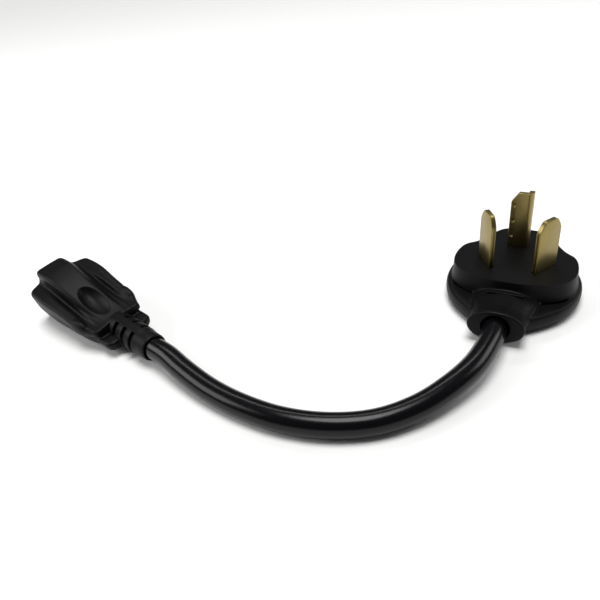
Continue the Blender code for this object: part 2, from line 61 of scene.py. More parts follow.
def local_frame(place, turn, roll=0.0):
    """A local frame's place in the object's frame, in millimetres and degrees."""
    rotation = Euler((math.radians(roll), 0, math.radians(turn))).to_matrix().to_4x4()
    return Matrix.Translation(Vector(place) * MM) @ rotation


PLUG_FRAME = local_frame((92.8, 0.2, 0.0), -28.6)
CONNECTOR_FRAME = local_frame((-111.966, 31.338, 1.294), -46.9, 8.0)

# The cord's route over the table, between the boot and the collar
CORD_ROUTE = (
    (-49.2, -38.2, 6.4), (-38.8, -49.4, 5.2), (-26.6, -59.9, 4.9), (-12.2, -69.0, 4.9),
    (4.0, -74.3, 4.9), (20.6, -75.0, 5.0), (36.2, -70.6, 5.7), (49.8, -62.8, 6.9), (61.0, -53.4, 7.8),
)
BOOT_HEIGHT = 6.3
COLLAR_HEIGHT = 8.3
BOOT_POINTS = ((67.3, 0, BOOT_HEIGHT), (72.5, 0, BOOT_HEIGHT), (81.5, 0, BOOT_HEIGHT))
COLLAR_POINTS = ((0, -47.5, COLLAR_HEIGHT), (0, -38.5, COLLAR_HEIGHT), (0, -33.3, COLLAR_HEIGHT))
CORD_STEPS = 8

# The plug's two outlines, right half from the near end to the far end, and steps between points
OUTLINE_STEPS = 5
FACE_HALF = (
    (0, -15.5), (5.5, -15.3), (11.5, -14.3), (17.5, -12.1), (22.5, -8.5), (25.2, -3), (25.6, 4.5),
    (23.6, 12), (19, 16.5), (15.6, 21.5), (13.3, 27), (9.8, 31.6), (5, 33.2), (0, 33.4),
)
FLANGE_HALF = (
    (0, -32.5), (6.3, -31.6), (11.8, -28.3), (17.2, -23.8), (23.1, -17), (27, -8.7), (28.6, 0),
    (28.1, 8.4), (25.4, 16.2), (21.4, 23.3), (17.1, 29.4), (12.1, 33.9), (6.1, 36.2), (0, 36.5),
)
# Inset and height of each ring: the flange's pillow, then the boss
FLANGE_PROFILE = (
    (-3.4, 0.0), (-2.1, 0.4), (-1.1, 1.2), (-0.5, 2.3), (-0.1, 3.6), (0.0, 5.0), (-0.15, 6.3),
    (-0.4, 7.2), (-0.8, 7.7), (-1.4, 7.9),
)
BOSS_PROFILE = ((1.1, 6.0), (0.9, 8.6), (0.5, 12.0), (0.25, 15.2), (0.2, 16.0), (0.15, 16.6))
FACE_TRIM = ((-40, 40), (-40, 40), (16.0, 20))
# Inset and height of the sunken shelf's rings, with the boss and the neck that stand in it
MOAT_PROFILE = ((-3.0, 7.1), (-2.4, 9.4))
MOAT_BOSS = (1.0, (6.5, 10.0))
MOAT_NECK = ((-14.2, 14.2), (-60, -4), (5, 12))
# Neck: station, half width, lowest and highest point
NECK_SECTIONS = (
    (-6.0, 14.4, 0.7, 12.0), (-13.0, 13.8, 0.6, 12.2), (-20.0, 13.0, 0.6, 12.4),
    (-25.0, 12.0, 0.7, 12.7), (-29.0, 11.2, 0.8, 13.2), (-33.0, 11.0, 0.9, 14.1),
    (-36.0, 11.3, 0.95, 15.1), (-37.6, 11.5, 1.0, 15.55), (-38.2, 11.35, 1.1, 15.45),
    (-38.5, 11.0, 1.4, 15.1),
)
NECK_LINE = ((-7.5, 7.5), (-19.4, -18.8), (11.4, 12.75))
# Station and radius of the bore that takes the cord
CORD_BORE = ((-40, 6.4), (-38.5, 5.9), (-37.7, 5.35), (-33.0, 5.2))

# Blades: where they start, and the gap and floor of the slots that they stand in
BLADE_FOOT = 14.0
SLOT_GAP = 0.16
SLOT_FLOOR = 12.5
# A flat blade's cut corner: across, down, and the length that rounds it at each end
CORNER_ACROSS, CORNER_DROP, CORNER_ROUNDING = 2.7, 4.2, 1.0
# Level from each broad side and inset of the rings that round the blade's edges
BLADE_EDGE = ((0.0, 0.3), (0.1, 0.1), (0.3, 0.0))
# The seam's depth and half width, then those of its rounded lips, and its end below the tip
SEAM_STEPS = ((0.75, 0.34), (0.25, 0.56))
SEAM_END = 4.6
# L-shaped blade: the two legs' ends in X and Y, and the outer radius of its bend
L_BLADE_X = (-6.0, 3.0)
L_BLADE_Y = (15.8, 21.2)
L_BEND = 2.4
# The slopes of its tip: (across, below the tip) on the long leg, then on the short leg
LONG_LEG_SLOPE = ((-6.0, 4.2), (-3.1, 0.0))
SHORT_LEG_SLOPE = ((20.0, 0.0), (21.2, 1.1))
DIMPLE_PLACE = (-4.7, 15.45)
DIMPLE_SIZE = (1.0, 0.75, 1.1)
DIMPLE_HEIGHTS = (21.6, 28.8, 36.2)

# Connector: station, half width, wing height, flute height, ridge half width, ridge height
STATIONS = (
    (0.0, 14.9, 16.7, 17.2, 7.0, 22.7),
    (0.4, 15.6, 17.4, 17.7, 7.7, 23.4),
    (1.2, 15.9, 17.7, 17.8, 8.0, 23.7),
    (8.0, 16.2, 17.7, 17.4, 8.0, 24.3),
    (15.0, 16.2, 17.4, 16.1, 7.7, 23.4),
    (22.0, 15.7, 16.6, 14.4, 7.3, 21.2),
    (29.0, 15.3, 15.3, 12.9, 7.0, 18.2),
    (36.0, 14.8, 13.7, 11.8, 6.7, 15.2),
    (41.0, 13.9, 12.4, 11.4, 6.5, 13.2),
    (44.5, 12.6, 11.8, 11.3, 6.3, 12.2),
    (47.2, 11.8, 11.6, 11.4, 6.0, 11.9),
    (47.6, 11.4, 11.2, 11.0, 5.8, 11.5),
)
# The front's shift at its middle and at its sides, and the station where it has faded out
FRONT_BOW = (-2.0, 1.4, 8.0)
# The ridge's sideways shift at its middle, the extra at its edge, and the rise over which it grows
RIDGE_LEAN = (-1.6, -0.7, 6.0)
FOOT = ((6.6, 0.0), (4.7, 0.5), (3.1, 2.2), (1.9, 5.2), (0.9, 8.7))
FLUTE_HALF = 8.8
TONGUE = ((43.0, 55.5), 11.4)
TONGUE_PROFILE = ((-2.2, 2.2), (-1.0, 3.0), (-0.2, 4.6), (0.0, 6.4), (-0.25, 7.1), (-0.9, 7.6))
TONGUE_CORNER = 3.2
# Middle and half sizes of the grip lobe on the +Y side, and its turn in degrees
LOBE = ((36.2, 13.0, 10.6), (6.4, 2.3, 3.9), -6)
THUMB_RECESS = ((40.0, -1.2, 21.2), (15.0, 6.8, 8.6))

# Front insert: half width and height of the slab and of the part in the ridge
INSERT_SLAB = (11.4, (1.9, 12.6))
INSERT_RIDGE = (5.4, (10, 22.1))
INSERT_ENDS = (-0.7, 8.9)
POCKET_ENDS = (-5.0, 9.0)
POCKET_GAP = 0.08
SLOT_HEIGHT = 6.5
SLOT_REACH = (-3, 7.5)
# Side and length of each slot; seen from the front, the longer one is on the right
SLOT_LENGTHS = ((1, 6.8), (-1, 8.2))
# Station and extra half width of the widening at each slot's mouth
LEAD_IN = ((-0.9, 0.55), (-0.7, 0.35), (-0.3, -0.05))
GROUND_HEIGHT = 18.4
# Station and extra radius of the ground hole
GROUND_PROFILE = ((-0.9, 0.5), (-0.7, 0.35), (-0.25, 0.0), (7.5, 0.0))

# Boot: station and radius, then the slots' middles, radii and arc in degrees from the top
BOOT_PROFILE = (
    (45.0, 6.3), (48.3, 6.5), (56.0, 6.48), (64.2, 6.4), (65.6, 6.25), (66.6, 5.98), (68.0, 5.92),
    (71.6, 5.85), (72.25, 5.7), (72.5, 5.42), (72.5, 5.12), (72.1, 4.98), (67.0, 4.95),
)
BOOT_SLOTS = (51.6, 57.6, 63.4)
BOOT_SLOT_RADII = (4.9, 8.5)
BOOT_SLOT_ARC = (17, 163)
BOOT_SLOT_STEPS = 14

# Stage: the point that the camera looks at, its distance, elevation and tilt, in metres and radians
CAMERA_TARGET = (-0.0014, 0.0139, 0)
CAMERA_DISTANCE, CAMERA_ELEVATION, CAMERA_TILT = 0.2978, 0.5812, -0.1037
CAMERA_LENS = 38.32
# Each softbox's place and size, and the setting that holds its power
SOFTBOXES = {
    "left_softbox": ((-0.7, 0.0, 0.4), (0.5, 0.35), "left_power"),
    "right_softbox": ((0.75, 0.1, 0.4), (0.4, 0.3), "right_power"),
    "top_softbox": ((0.0, 0.55, 0.75), (0.9, 0.1), "top_power"),
}
SUN_ANGLE = 34
# The room's brightness as the camera sees it
SEEN_ROOM = 0.9


def hex_colour(code):
    """An sRGB hex colour as the linear values that Blender's sockets take."""
    values = []
    for i in (0, 2, 4):
        value = int(code[i:i + 2], 16) / 255
        values.append(value / 12.92 if value <= 0.04045 else ((value + 0.055) / 1.055) ** 2.4)
    return (*values, 1.0)


def length_property(name, description, default):
    return bpy.props.FloatProperty(
        name=name, description=description, default=default, min=0, unit="LENGTH",
    )


def colour_property(name, description, code):
    return bpy.props.FloatVectorProperty(
        name=name, description=description, default=hex_colour(code),
        size=4, min=0, max=1, subtype="COLOR",
    )


# ---- Settings ----


class AdapterPlugSettings(bpy.types.PropertyGroup):
    blade_width: length_property("Blade width", "Width of each flat blade", 0.0127)
    blade_thickness: length_property("Blade thickness", "Thickness of the folded strip", 0.0022)
    blade_length: length_property("Blade length", "How far the flat blades stand out", 0.0232)
    blade_spacing: length_property("Blade spacing", "Distance between the flat blades' middles", 0.0244)
    blade_angle: bpy.props.FloatProperty(
        name="Blade angle", description="How far each flat blade is turned outwards",
        default=math.radians(32), subtype="ANGLE",
    )
    neutral_length: length_property("L blade length", "How far the L-shaped blade stands out", 0.026)
    face_height: length_property("Face height", "Height of the face above the back", 0.016)


class AdapterConnectorSettings(bpy.types.PropertyGroup):
    slot_spacing: length_property("Slot spacing", "Distance between the two slots", 0.0127)
    slot_width: length_property("Slot width", "Width of each slot", 0.0021)
    ground_radius: length_property("Ground hole radius", "Radius of the round hole", 0.00245)
    relief_slot: length_property("Relief slot", "Width of the boot's slots", 0.0022)


class AdapterCordSettings(bpy.types.PropertyGroup):
    diameter: length_property("Diameter", "The jacket's outside diameter", 0.0095)
    length: length_property("Length", "Length of cord between the floors of the two bores", 0.185)


class AdapterFinishSettings(bpy.types.PropertyGroup):
    moulding: colour_property("Moulding", "The plug's and connector's vinyl", "070709")
    jacket: colour_property("Jacket", "The cord's vinyl", "060609")
    insert: colour_property("Insert", "The nylon block behind the front", "141416")
    brass: colour_property("Brass", "The blades' bright brass", "9A8C5B")
    brass_dark: colour_property("Brass, dulled", "The blades' brass where it was handled", "8E7E4D")


class AdapterStageSettings(bpy.types.PropertyGroup):
    floor: colour_property("Floor", "The pale floor", "FCFCFB")
    surround: bpy.props.FloatProperty(
        name="Surround", description="Strength of the white room light", default=0.1, min=0,
    )
    ceiling: bpy.props.FloatProperty(
        name="Ceiling", description="Strength of the even light from above", default=2.3, min=0,
    )
    left_power: bpy.props.FloatProperty(
        name="Left light", description="Power of the left softbox",
        default=2.4, min=0, unit="POWER",
    )
    right_power: bpy.props.FloatProperty(
        name="Right light", description="Power of the right softbox",
        default=1.2, min=0, unit="POWER",
    )
    top_power: bpy.props.FloatProperty(
        name="Top light", description="Power of the overhead strip",
        default=1.5, min=0, unit="POWER",
    )


# ---- Making meshes ----


def deselect():
    if bpy.context.object and bpy.context.object.mode != "OBJECT":
        bpy.ops.object.mode_set(mode="OBJECT")
    bpy.ops.object.select_all(action="DESELECT")


def pick(obj):
    deselect()
    obj.select_set(True)
    bpy.context.view_layer.objects.active = obj


def smooth_line(points, closed, steps):
    """A smooth line through the points, in steps from each one to the next."""
    count = len(points)
    line = []
    for i in range(count if closed else count - 1):
        four = []
        for j in range(i - 1, i + 3):
            four.append(Vector(points[j % count] if closed else points[min(max(j, 0), count - 1)]))
        before, start, end, after = four
        for k in range(steps):
            t = k / steps
            bend = 2 * before - 5 * start + 4 * end - after
            twist = 3 * (start - end) + after - before
            line.append(start + 0.5 * (t * (end - before) + t * t * bend + t ** 3 * twist))
    if not closed:
        line.append(Vector(points[-1]))
    return line


def mirrored_outline(half, steps):
    left = [(-x, y) for x, y in half[-2:0:-1]]
    return smooth_line(list(half) + left, True, steps)


def offset(outline, distance):
    """The outline moved outwards along its normals, or inwards for a negative distance."""
    count = len(outline)
    moved = []
    for i, point in enumerate(outline):
        along = outline[(i + 1) % count] - outline[i - 1]
        moved.append(point + Vector((along.y, -along.x)).normalized() * distance)
    return moved


def stacked(outline, profile):
    """One ring for each (inset, height) of the profile."""
    return [at_height(offset(outline, inset), z) for inset, z in profile]


def at_height(outline, z):
    return [(point[0], point[1], z) for point in outline]


def circle(radius, sides):
    angles = (2 * math.pi * i / sides for i in range(sides))
    return [(radius * math.cos(a), radius * math.sin(a)) for a in angles]


def ring_solid(name, rings):
    """Extrudes a flat face through the rings, each a list of points in millimetres."""
    deselect()
    bpy.ops.mesh.primitive_circle_add(vertices=len(rings[0]), radius=MM, fill_type="NGON")
    obj = bpy.context.object
    obj.name = obj.data.name = name
    bpy.ops.object.mode_set(mode="EDIT")
    bm = bmesh.from_edit_mesh(obj.data)
    spot = bm.verts.layers.int.new("spot")
    for number, vert in enumerate(bm.verts):
        vert[spot] = number
        vert.co = Vector(rings[0][number]) * MM
    bmesh.update_edit_mesh(obj.data)
    bpy.ops.mesh.select_all(action="SELECT")
    for ring in rings[1:]:
        bpy.ops.mesh.extrude_region_move()
        bm = bmesh.from_edit_mesh(obj.data)
        spot = bm.verts.layers.int["spot"]
        for vert in bm.verts:
            if vert.select:
                vert.co = Vector(ring[vert[spot]]) * MM
        bmesh.update_edit_mesh(obj.data)
    bpy.ops.mesh.select_all(action="SELECT")
    bpy.ops.mesh.normals_make_consistent(inside=False)
    bpy.ops.object.mode_set(mode="OBJECT")
    obj.data.attributes.remove(obj.data.attributes["spot"])
    return obj


def turned(name, profile, axis, centre, sides):
    """A round solid along X or Y: profile is (station, radius), centre the two other coordinates."""
    rings = []
    for station, radius in profile:
        ring = []
        for a, b in circle(radius, sides):
            side, height = centre[0] + a, centre[1] + b
            ring.append((station, side, height) if axis == "X" else (side, station, height))
        rings.append(ring)
    return ring_solid(name, rings)


def block(name, spans, edge=0.0):
    """A box with rounded edges between (low, high) spans in millimetres."""
    deselect()
    centre = [(low + high) / 2 * MM for low, high in spans]
    size = [(high - low) * MM for low, high in spans]
    bpy.ops.mesh.primitive_cube_add(size=1, location=centre, scale=size)
    obj = bpy.context.object
    obj.name = obj.data.name = name
    bpy.ops.object.transform_apply(location=True, rotation=True, scale=True)
    if edge:
        use_modifier(obj, "BEVEL", width=edge * MM, segments=3, limit_method="NONE")
    return obj


def egg(name, centre, half_sizes, turn=0.0, segments=32, rings=20):
    """A stretched ball, turned about its own upright axis."""
    deselect()
    bpy.ops.mesh.primitive_uv_sphere_add(
        segments=segments, ring_count=rings, radius=1, location=Vector(centre) * MM,
        rotation=(0, 0, math.radians(turn)), scale=Vector(half_sizes) * MM,
    )
    obj = bpy.context.object
    obj.name = obj.data.name = name
    bpy.ops.object.transform_apply(location=True, rotation=True, scale=True)
    return obj


def use_modifier(obj, kind, **settings):
    """Adds the modifier with its settings and applies it."""
    pick(obj)
    modifier = obj.modifiers.new(kind.title(), kind)
    for name, value in settings.items():
        setattr(modifier, name, value)
    bpy.ops.object.modifier_apply(modifier=modifier.name)


def combine(obj, operation, *others):
    """Joins the other solids to this one, or cuts them away."""
    for other in others:
        use_modifier(obj, "BOOLEAN", operation=operation, object=other, solver="EXACT")
        bpy.data.objects.remove(other)


def soften(obj, voxel, rounds):
    """Melts the joined shapes into one moulded skin with small fillets."""
    use_modifier(obj, "REMESH", mode="VOXEL", voxel_size=voxel * MM)
    use_modifier(obj, "SMOOTH", factor=0.5, iterations=rounds)


def settle(obj, place, angle):
    """Puts the piece where its local frame stands, with its place in its mesh, and shades it."""
    pick(obj)
    obj.matrix_world = place
    bpy.ops.object.transform_apply(location=True, rotation=True, scale=True)
    bpy.ops.object.shade_smooth_by_angle(angle=math.radians(angle))


def hand_over(obj, material, slot, *nodes):
    """Gives the piece its material and its place on the object."""
    obj.data.materials.clear()
    obj.data.materials.append(material)
    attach(obj, "root")
    if nodes:
        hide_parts(*nodes)


# ---- Materials ----


def add_node(tree, kind, inputs=None, **settings):
    """One node with its settings, its values and its links."""
    made = tree.nodes.new(kind)
    for name, value in settings.items():
        setattr(made, name, value)
    for socket, value in (inputs or {}).items():
        if isinstance(value, bpy.types.NodeSocket):
            tree.links.new(value, made.inputs[socket])
        else:
            made.inputs[socket].default_value = value
    return made


def new_material(name, **values):
    """A material with one Principled shader, whose even values are set on its own sockets."""
    material = bpy.data.materials.new(name)
    material.use_nodes = True
    shader = material.node_tree.nodes["Principled BSDF"]
    for socket, value in values.items():
        shader.inputs[socket.replace("_", " ")].default_value = value
    return material, material.node_tree, shader


def connect(tree, shader, **sources):
    for socket, source in sources.items():
        tree.links.new(source, shader.inputs[socket.replace("_", " ")])


def moulded_vinyl(name, colour, place):
    """Injection-moulded PVC: a spark-eroded mould leaves a fine matt grain, which breaks up the
    reflections, and the melt's flow leaves faint cloudy patches of higher gloss."""
    material, tree, shader = new_material(name, IOR=VINYL_IOR, Specular_IOR_Level=0.13)
    spot = add_node(tree, "ShaderNodeTexCoord").outputs["Object"]
    angles = place.to_euler()
    own = add_node(tree, "ShaderNodeMapping", {"Vector": spot, "Rotation": (0, 0, -angles.z)})
    # The grain is about 0.2 mm; it is drawn at 0.45 mm so that it shows
    grain = add_node(
        tree, "ShaderNodeTexNoise",
        {"Vector": own.outputs[0], "Scale": 2200, "Detail": 3, "Roughness": 0.6},
    )
    # Flow patches, about 9 mm across
    flow = add_node(
        tree, "ShaderNodeTexNoise",
        {"Vector": own.outputs[0], "Scale": 110, "Detail": 4, "Distortion": 0.6},
    )
    tint = add_node(tree, "ShaderNodeMix", {"Factor": flow.outputs["Fac"]}, data_type="RGBA")
    tint.inputs["A"].default_value = [value * 0.82 for value in colour[:3]] + [1]
    tint.inputs["B"].default_value = [value * 1.2 for value in colour[:3]] + [1]
    gloss = add_node(
        tree, "ShaderNodeMapRange", {"Value": flow.outputs["Fac"], "To Min": 0.36, "To Max": 0.5},
    )
    fine = add_node(tree, "ShaderNodeMath", {0: grain.outputs["Fac"], 1: 0.05}, operation="MULTIPLY")
    rough = add_node(tree, "ShaderNodeMath", {0: gloss.outputs[0], 1: fine.outputs[0]}, operation="ADD")
    bump = add_node(
        tree, "ShaderNodeBump",
        {"Height": grain.outputs["Fac"], "Strength": 0.28, "Distance": 0.00004},
    )
    wave = add_node(
        tree, "ShaderNodeBump",
        {"Height": flow.outputs["Fac"], "Strength": 0.2, "Distance": 0.0003, "Normal": bump.outputs[0]},
    )
    connect(
        tree, shader,
        Base_Color=tint.outputs["Result"], Roughness=rough.outputs[0], Normal=wave.outputs[0],
    )
    return material


def extruded_vinyl(name, colour, gloss=(0.2, 0.25)):
    """Extruded PVC: the die leaves it glossier than a moulding, with slow ripples along its length
    from the twisted conductors beneath and a few dull scuffs."""
    material, tree, shader = new_material(name, IOR=VINYL_IOR, Specular_IOR_Level=0.24)
    spot = add_node(tree, "ShaderNodeTexCoord").outputs["Object"]
    # Ripples about 12 mm long
    ripple = add_node(
        tree, "ShaderNodeTexNoise", {"Vector": spot, "Scale": 80, "Detail": 2, "Roughness": 0.4},
    )
    # Scuffs about 1.5 mm across
    scuff = add_node(
        tree, "ShaderNodeTexNoise", {"Vector": spot, "Scale": 650, "Detail": 5, "Roughness": 0.65},
    )
    tint = add_node(tree, "ShaderNodeMix", {"Factor": scuff.outputs["Fac"]}, data_type="RGBA")
    tint.inputs["A"].default_value = [value * 0.85 for value in colour[:3]] + [1]
    tint.inputs["B"].default_value = [value * 1.15 for value in colour[:3]] + [1]
    rough = add_node(tree, "ShaderNodeMapRange", {
        "Value": scuff.outputs["Fac"], "From Min": 0.35, "From Max": 0.7,
        "To Min": gloss[0], "To Max": gloss[1],
    })
    bump = add_node(
        tree, "ShaderNodeBump",
        {"Height": ripple.outputs["Fac"], "Strength": 0.2, "Distance": 0.0004},
    )
    skin = add_node(
        tree, "ShaderNodeBump",
        {
            "Height": scuff.outputs["Fac"], "Strength": 0.04, "Distance": 0.00005,
            "Normal": bump.outputs[0],
        },
    )
    connect(
        tree, shader,
        Base_Color=tint.outputs["Result"], Roughness=rough.outputs[0], Normal=skin.outputs[0],
    )
    return material


def stamped_brass(name, bright, dull):
    """Rolled and stamped brass strip: fine draw lines along the blade stretch the reflections
    upwards into a satin sheen, and handling leaves faint duller clouds."""
    material, tree, shader = new_material(name, Metallic=1.0, Anisotropic=0.2)
    spot = add_node(tree, "ShaderNodeTexCoord").outputs["Object"]
    # Draw lines 0.3 mm apart across the blade, drawn out fifty times as long upwards
    along = add_node(tree, "ShaderNodeMapping", {"Vector": spot, "Scale": (1, 1, 0.02)})
    lines = add_node(
        tree, "ShaderNodeTexNoise",
        {"Vector": along.outputs[0], "Scale": 3300, "Detail": 3, "Roughness": 0.6},
    )
    # Clouds about 8 mm across
    cloud = add_node(
        tree, "ShaderNodeTexNoise", {"Vector": spot, "Scale": 120, "Detail": 3, "Distortion": 0.4},
    )
    tint = add_node(tree, "ShaderNodeMix", {"Factor": cloud.outputs["Fac"]}, data_type="RGBA")
    tint.inputs["A"].default_value = bright
    tint.inputs["B"].default_value = dull
    gloss = add_node(
        tree, "ShaderNodeMapRange", {"Value": cloud.outputs["Fac"], "To Min": 0.3, "To Max": 0.36},
    )
    streak = add_node(tree, "ShaderNodeMath", {0: lines.outputs["Fac"], 1: 0.06}, operation="MULTIPLY")
    total = add_node(
        tree, "ShaderNodeMath", {0: gloss.outputs[0], 1: streak.outputs[0]}, operation="ADD",
    )
    bump = add_node(
        tree, "ShaderNodeBump",
        {"Height": lines.outputs["Fac"], "Strength": 0.12, "Distance": 0.00003},
    )
    connect(
        tree, shader,
        Base_Color=tint.outputs["Result"], Roughness=total.outputs[0], Normal=bump.outputs[0],
    )
    return material


def drawn_copper(name):
    """Drawn copper threads twisted together: fine diagonal lines, a warm red metal."""
    material, tree, shader = new_material(name, Metallic=1.0)
    spot = add_node(tree, "ShaderNodeTexCoord").outputs["Object"]
    # Threads are about 0.25 mm wide; they are drawn 0.57 mm apart so that they show
    threads = add_node(
        tree, "ShaderNodeTexWave", {"Vector": spot, "Scale": 640, "Distortion": 1.5},
        bands_direction="DIAGONAL",
    )
    tint = add_node(tree, "ShaderNodeMix", {"Factor": threads.outputs["Fac"]}, data_type="RGBA")
    tint.inputs["A"].default_value = hex_colour("8E4A2C")
    tint.inputs["B"].default_value = hex_colour("D98A5F")
    rough = add_node(
        tree, "ShaderNodeMapRange", {"Value": threads.outputs["Fac"], "To Min": 0.45, "To Max": 0.25},
    )
    bump = add_node(
        tree, "ShaderNodeBump",
        {"Height": threads.outputs["Fac"], "Strength": 0.5, "Distance": 0.00006},
    )
    connect(
        tree, shader,
        Base_Color=tint.outputs["Result"], Roughness=rough.outputs[0], Normal=bump.outputs[0],
    )
    return material


def finish():
    return bpy.context.scene.adapter_finish


def shared_material(name, maker, *values):
    """The material of that name, made the first time that a piece asks for it."""
    return bpy.data.materials.get(name) or maker(name, *values)


def plug_vinyl():
    colour = tuple(finish().moulding)
    return shared_material("moulded_pvc_plug", moulded_vinyl, colour, PLUG_FRAME)


def connector_vinyl():
    colour = tuple(finish().moulding)
    return shared_material("moulded_pvc_connector", moulded_vinyl, colour, CONNECTOR_FRAME)


def blade_brass():
    bright, dull = tuple(finish().brass), tuple(finish().brass_dark)
    return shared_material("stamped_brass", stamped_brass, bright, dull)


# ---- Pieces ----


class AdapterPiece:
    """What the operators share."""

    bl_options = {"REGISTER", "UNDO"}


class ADAPTER_OT_stage(AdapterPiece, bpy.types.Operator):
    """Adds the floor, the soft lights and the camera"""

    bl_idname = "adapter.stage"
    bl_label = "Stage and Camera"

    def execute(self, context):
        settings = context.scene.adapter_stage
        self.camera()
        deselect()
        bpy.ops.mesh.primitive_plane_add(size=6)
        floor = context.object
        floor.name = "floor"
        material, tree, shader = new_material(
            "matt_paper_sweep", Base_Color=tuple(settings.floor), Roughness=0.8,
        )
        spot = add_node(tree, "ShaderNodeTexCoord").outputs["Object"]
        # Paper tooth, about 1 mm
        tooth = add_node(tree, "ShaderNodeTexNoise", {"Vector": spot, "Scale": 900, "Detail": 3})
        bump = add_node(
            tree, "ShaderNodeBump",
            {"Height": tooth.outputs["Fac"], "Strength": 0.05, "Distance": 0.0001},
        )
        connect(tree, shader, Normal=bump.outputs[0])
        floor.data.materials.append(material)
        for name, (place, size, power) in SOFTBOXES.items():
            self.softbox(name, place, size, getattr(settings, power))
        deselect()
        bpy.ops.object.light_add(type="SUN", location=(0, 0, 1))
        ceiling = context.object
        ceiling.name = "ceiling_light"
        ceiling.data.energy = settings.ceiling
        ceiling.data.angle = math.radians(SUN_ANGLE)
        world = bpy.data.worlds.new("white_room")
        context.scene.world = world
        world.use_nodes = True
        background = world.node_tree.nodes["Background"]
        background.inputs["Color"].default_value = (1, 1, 1, 1)
        # The room looks white but lights the object only dimly
        seen = add_node(world.node_tree, "ShaderNodeLightPath").outputs["Is Camera Ray"]
        glow = {"Value": seen, "To Min": settings.surround, "To Max": SEEN_ROOM}
        strength = add_node(world.node_tree, "ShaderNodeMapRange", glow).outputs[0]
        world.node_tree.links.new(strength, background.inputs["Strength"])
        context.scene.view_settings.view_transform = "Standard"
        return {"FINISHED"}

    def camera(self):
        deselect()
        bpy.ops.object.camera_add()
        camera = bpy.context.object
        camera.name = "camera"
        camera.data.lens = CAMERA_LENS
        camera.data.clip_start = 0.01
        back = Vector((0, -math.cos(CAMERA_ELEVATION), math.sin(CAMERA_ELEVATION)))
        turn = (-back).to_track_quat("-Z", "Y").to_matrix().to_4x4()
        place = Matrix.Translation(Vector(CAMERA_TARGET) + back * CAMERA_DISTANCE)
        camera.matrix_world = place @ turn @ Matrix.Rotation(CAMERA_TILT, 4, "Z")
        bpy.context.scene.camera = camera

    def softbox(self, name, place, size, power):
        deselect()
        bpy.ops.object.light_add(type="AREA", location=place)
        light = bpy.context.object
        light.name = name
        light.data.shape = "RECTANGLE"
        light.data.size, light.data.size_y = size
        light.data.energy = power
        light.rotation_euler = (-Vector(place)).to_track_quat("-Z", "Y").to_euler()


class ADAPTER_OT_cord(AdapterPiece, bpy.types.Operator):
    """Adds the round cord from the boot to the collar"""

    bl_idname = "adapter.cord"
    bl_label = "Cord"

    def execute(self, context):
        settings = context.scene.adapter_cord
        start = [CONNECTOR_FRAME @ (Vector(p) * MM) for p in BOOT_POINTS]
        end = [PLUG_FRAME @ (Vector(p) * MM) for p in COLLAR_POINTS]
        line = smooth_line(start + [Vector(p) * MM for p in CORD_ROUTE] + end, False, CORD_STEPS)
        deselect()
        curve = bpy.data.curves.new("cord", "CURVE")
        curve.dimensions = "3D"
        curve.bevel_depth = settings.diameter / 2
        curve.bevel_resolution = 10
        curve.use_fill_caps = True
        spline = curve.splines.new("POLY")
        spline.points.add(len(line) - 1)
        for target, point in zip(spline.points, line):
            target.co = (*point, 1)
        spline.use_smooth = True
        cord = bpy.data.objects.new("cord", curve)
        context.scene.collection.objects.link(cord)
        material = shared_material("extruded_pvc_jacket", extruded_vinyl, tuple(finish().jacket))
        hand_over(cord, material, "cord_black_vinyl", "cord_jacket")
        return {"FINISHED"}


class ADAPTER_OT_plug_body(AdapterPiece, bpy.types.Operator):
    """Adds the plug's moulding: flange, boss, neck and collar"""

    bl_idname = "adapter.plug_body"
    bl_label = "Plug Moulding"

    def execute(self, context):
        face = mirrored_outline(FACE_HALF, OUTLINE_STEPS)
        flange = mirrored_outline(FLANGE_HALF, OUTLINE_STEPS)
        body = ring_solid("plug_moulding", stacked(flange, FLANGE_PROFILE))
        combine(body, "UNION", ring_solid("boss", stacked(face, BOSS_PROFILE)), self.neck())
        soften(body, voxel=0.42, rounds=7)
        # The face is trimmed flat, which leaves its rim crisp
        trim = block("trim", FACE_TRIM)
        combine(body, "DIFFERENCE", self.moat(face, flange), trim)
        # A small raised line crosses the neck's top
        combine(body, "UNION", block("neck_line", NECK_LINE, edge=0.22))
        bore = turned("cord_bore", CORD_BORE, "Y", (0, COLLAR_HEIGHT), 48)
        combine(body, "DIFFERENCE", bore)
        for side in (-1, 1):
            combine(body, "DIFFERENCE", flat_blade("slot", side, grow=SLOT_GAP, foot=SLOT_FLOOR))
        combine(body, "DIFFERENCE", l_blade("slot", grow=SLOT_GAP, foot=SLOT_FLOOR))
        settle(body, PLUG_FRAME, 32)
        hand_over(body, plug_vinyl(), "moulded_black_vinyl", "plug_overmould")
        return {"FINISHED"}

    def neck(self):
        """The round neck, which rises into the collar."""
        rings = []
        for y, half_width, low, high in NECK_SECTIONS:
            middle, half_height = (low + high) / 2, (high - low) / 2
            rings.append([(a * half_width, y, middle + b * half_height) for a, b in circle(1.0, 72)])
        return ring_solid("neck", rings)

    def moat(self, face, flange):
        """The sunken shelf between the boss and the flange's lip."""
        cutter = ring_solid("moat", stacked(flange, MOAT_PROFILE))
        inset, heights = MOAT_BOSS
        boss = ring_solid("boss_keep", stacked(face, [(inset, z) for z in heights]))
        combine(cutter, "DIFFERENCE", boss, block("neck_keep", MOAT_NECK))
        return cutter


